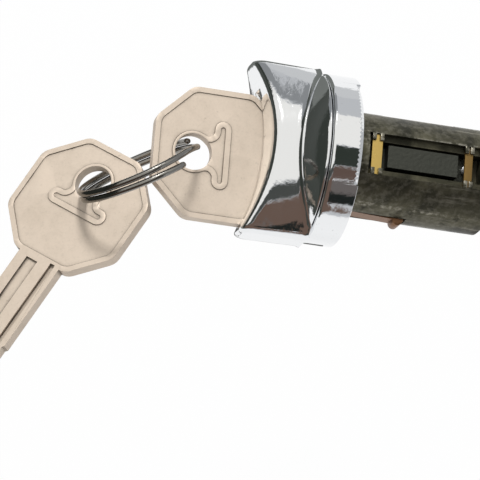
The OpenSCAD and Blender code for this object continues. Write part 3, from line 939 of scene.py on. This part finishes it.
class LOCK_OT_stage(bpy.types.Operator):
    """Sets up the camera, the floor and the studio light"""

    bl_idname = "lock.stage"
    bl_label = "Stage"

    back = Vector((-0.2215, -0.2687, 0.9373))
    right = Vector((0.9651, 0.0766, 0.2500))
    up = Vector((-0.1390, 0.9602, 0.2424))
    sky = (0.9, 0.92, 0.95)
    sky_strength = 0.6
    floor_half = 1.5
    floor_white = 0.96
    floor_mirrored = 0.9
    card_r = 0.42
    curved_cards = (
        ("sky_card", (20, 66), (-0.60, 0.40), (1.0, 0.99, 0.96), 0.9),
        ("near_sky_card", (-4, 20), (-0.60, 0.12), (1.0, 0.99, 0.96), 0.9),
        ("high_card", (68, 97), (-0.35, 0.10), (0.26, 0.27, 0.28), 1.0),
        ("far_card", (98, 140), (-0.30, 0.30), (0.60, 0.61, 0.62), 1.0),
        ("dark_card", (-10, 18), (0.12, 0.40), (0.026, 0.033, 0.027), 1.0),
        ("near_dark_card", (-19, -5), (-0.50, 0.12), (0.06, 0.064, 0.06), 1.0),
        ("warm_card", (-28, -11), (0.12, 0.42), (0.11, 0.072, 0.058), 1.0),
        ("near_warm_card", (-46, -20), (-0.50, 0.12), (0.135, 0.088, 0.068), 1.0),
        ("near_low_card", (-75, -46), (-0.50, 0.09), (0.135, 0.088, 0.068), 1.0),
        ("grey_card", (-49, -29), (0.12, 0.45), (0.13, 0.115, 0.11), 1.0),
        ("low_card", (-62, -46), (0.09, 0.45), (0.004, 0.007, 0.006), 1.0),
    )
    flat_cards = (
        # Painted shadow: a dark card under the lock that stands for its shadow in the floor's reflections.
        ("under_card", (-0.0235, 0.002), (-0.0175, 0.0175), (0.12, 0.12, 0.115)),
        ("upper_card", (-0.055, -0.002), (0.0175, 0.25), (0.15, 0.16, 0.15)),
    )
    flat_card_lift = 0.0002
    lamps = (
        ("key_lamp", (-0.19, 0.48, 0.51), 0.14, 3.4),
        ("fill_lamp", (0.35, -0.5, 0.5), 0.6, 0.6),
    )

    def execute(self, context):
        scene = context.scene
        s = Millimetres(scene.lock_stage)
        scene.view_settings.view_transform = "Standard"
        self.camera(scene, s)
        self.world(scene)
        self.floor(s)
        for card in self.curved_cards:
            self.curved_card(*card)
        self.left_card()
        for card in self.flat_cards:
            self.flat_card(*card)
        for lamp in self.lamps:
            self.lamp(*lamp)
        return {"FINISHED"}

    def camera(self, scene, s):
        """The camera of the photograph, far off with a long lens."""
        lens = bpy.data.cameras.new("camera")
        lens.lens = s.lens
        lens.sensor_width = 36.0
        lens.sensor_fit = "HORIZONTAL"
        lens.clip_start = 0.01
        eye = bpy.data.objects.new("camera", lens)
        scene.collection.objects.link(eye)
        back = self.back.normalized()
        right = (self.right - back * self.right.dot(back)).normalized()
        distance = s.view_w * MM * s.lens / lens.sensor_width
        place = s.aim * MM + back * distance
        turn = Matrix((right, back.cross(right), back)).transposed()
        eye.matrix_world = Matrix.Translation(place) @ turn.to_4x4()
        scene.camera = eye

    def world(self, scene):
        """Even light from all round, which the camera sees as white."""
        scene.world = bpy.data.worlds.new("studio")
        sheet = Sheet(scene.world, "Background", "World Output")
        sheet.set(color=self.sky, strength=self.sky_strength)
        white = sheet.node("ShaderNodeBackground", None, {"Color": WHITE})
        sheet.show_over(sheet.ray("Camera"), white)

    def floor(self, s):
        """A pale floor below the lock."""
        level = CAD_BOX[0][2] - s.floor_drop * MM
        half = self.floor_half
        corners = [(-half, -half, level), (half, -half, level), (half, half, level), (-half, half, level)]
        sheet = finish_sheet("floor")
        sheet.set(base_color=s.floor, roughness=0.9)
        glow = sheet.node("ShaderNodeEmission", None, {"Color": WHITE, "Strength": 1.0})
        seen = sheet.ray("Camera") * self.floor_white + sheet.ray("Glossy") * self.floor_mirrored
        sheet.show_over(seen, glow)
        self.put_sheet("floor", corners, [(0, 1, 2, 3)], sheet.owner)

    def put_sheet(self, name, corners, faces, material):
        """A thin piece of the stage."""
        mesh = bpy.data.meshes.new(name)
        mesh.from_pydata(corners, [], faces)
        mesh.materials.append(material)
        piece = bpy.data.objects.new(name, mesh)
        bpy.context.collection.objects.link(piece)
        return piece

    def put_card(self, name, corners, faces, colour, strength):
        """A card that only shows in reflections."""
        sheet = finish_sheet(name)
        sheet.set(base_color=BLACK, roughness=1.0)
        sheet.set(emission_color=colour, emission_strength=strength)
        card = self.put_sheet(name, corners, faces, sheet.owner)
        card.visible_camera = False
        card.visible_diffuse = False
        card.visible_shadow = False
        card.visible_transmission = False

    def curved_card(self, name, rise, reach, colour, strength):
        """A curved card round the lock: rise from the camera's line in degrees, reach to each side."""
        corners = []
        steps = 8
        for k in range(steps + 1):
            angle = math.radians(rise[0] + (rise[1] - rise[0]) * k / steps)
            spot = (self.back * math.cos(angle) + self.up * math.sin(angle)) * self.card_r
            corners += [spot + self.right * reach[0], spot + self.right * reach[1]]
        faces = [(2 * k, 2 * k + 1, 2 * k + 3, 2 * k + 2) for k in range(steps)]
        self.put_card(name, corners, faces, colour, strength)

    def left_card(self):
        """A dark card that stands at the left and runs level towards the lock."""
        low = CAD_BOX[0][2]
        near = -0.055
        left = -0.6
        side = 0.7
        top = 0.30
        corners = [(x, y, z) for x, z in ((near, low), (left, low), (left, top)) for y in (-side, side)]
        self.put_card("left_card", corners, [(0, 1, 3, 2), (2, 3, 5, 4)], (0.03, 0.036, 0.03), 1.0)

    def flat_card(self, name, along, across, colour):
        """A level card at the height of the lock's lowest point."""
        low = CAD_BOX[0][2] + self.flat_card_lift
        corners = [(x, y, low) for x in along for y in across]
        self.put_card(name, corners, [(0, 1, 3, 2)], colour, 1.0)

    def lamp(self, name, place, size, power):
        """A square lamp that points at the lock."""
        light = bpy.data.lights.new(name, "AREA")
        light.size = size
        light.energy = power
        lamp = bpy.data.objects.new(name, light)
        bpy.context.collection.objects.link(lamp)
        lamp.location = place
        lamp.rotation_euler = (-Vector(place)).to_track_quat("-Z", "Y").to_euler()


class LOCK_PT_panel(bpy.types.Panel):
    """Lists the pieces of the lock"""

    bl_idname = "LOCK_PT_panel"
    bl_label = "Ignition lock"
    bl_space_type = "VIEW_3D"
    bl_region_type = "UI"
    bl_category = "Ignition lock"

    def draw(self, context):
        for operator in OPERATORS:
            self.layout.operator(operator.bl_idname)


GROUPS = {
    "lock_knob": KnobSizes,
    "lock_bezel": BezelSizes,
    "lock_keys": KeySizes,
    "lock_ring": RingSizes,
    "lock_springs": SpringSizes,
    "lock_finishes": Finishes,
    "lock_stage": StageSettings,
}
OPERATORS = (
    LOCK_OT_stage,
    LOCK_OT_knob,
    LOCK_OT_bezel,
    LOCK_OT_barrel,
    LOCK_OT_springs,
    LOCK_OT_keys,
    LOCK_OT_ring,
)


def register():
    for name, group in GROUPS.items():
        bpy.utils.register_class(group)
        setattr(bpy.types.Scene, name, bpy.props.PointerProperty(type=group))
    for operator in OPERATORS:
        bpy.utils.register_class(operator)
    bpy.utils.register_class(LOCK_PT_panel)


def unregister():
    bpy.utils.unregister_class(LOCK_PT_panel)
    for operator in reversed(OPERATORS):
        bpy.utils.unregister_class(operator)
    for name, group in reversed(GROUPS.items()):
        delattr(bpy.types.Scene, name)
        bpy.utils.unregister_class(group)


def main():
    """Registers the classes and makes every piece."""
    register()
    bpy.ops.lock.stage()
    bpy.ops.lock.knob()
    bpy.ops.lock.bezel()
    bpy.ops.lock.barrel()
    bpy.ops.lock.springs()
    bpy.ops.lock.keys()
    bpy.ops.lock.ring()


if __name__ == "__main__":
    main()
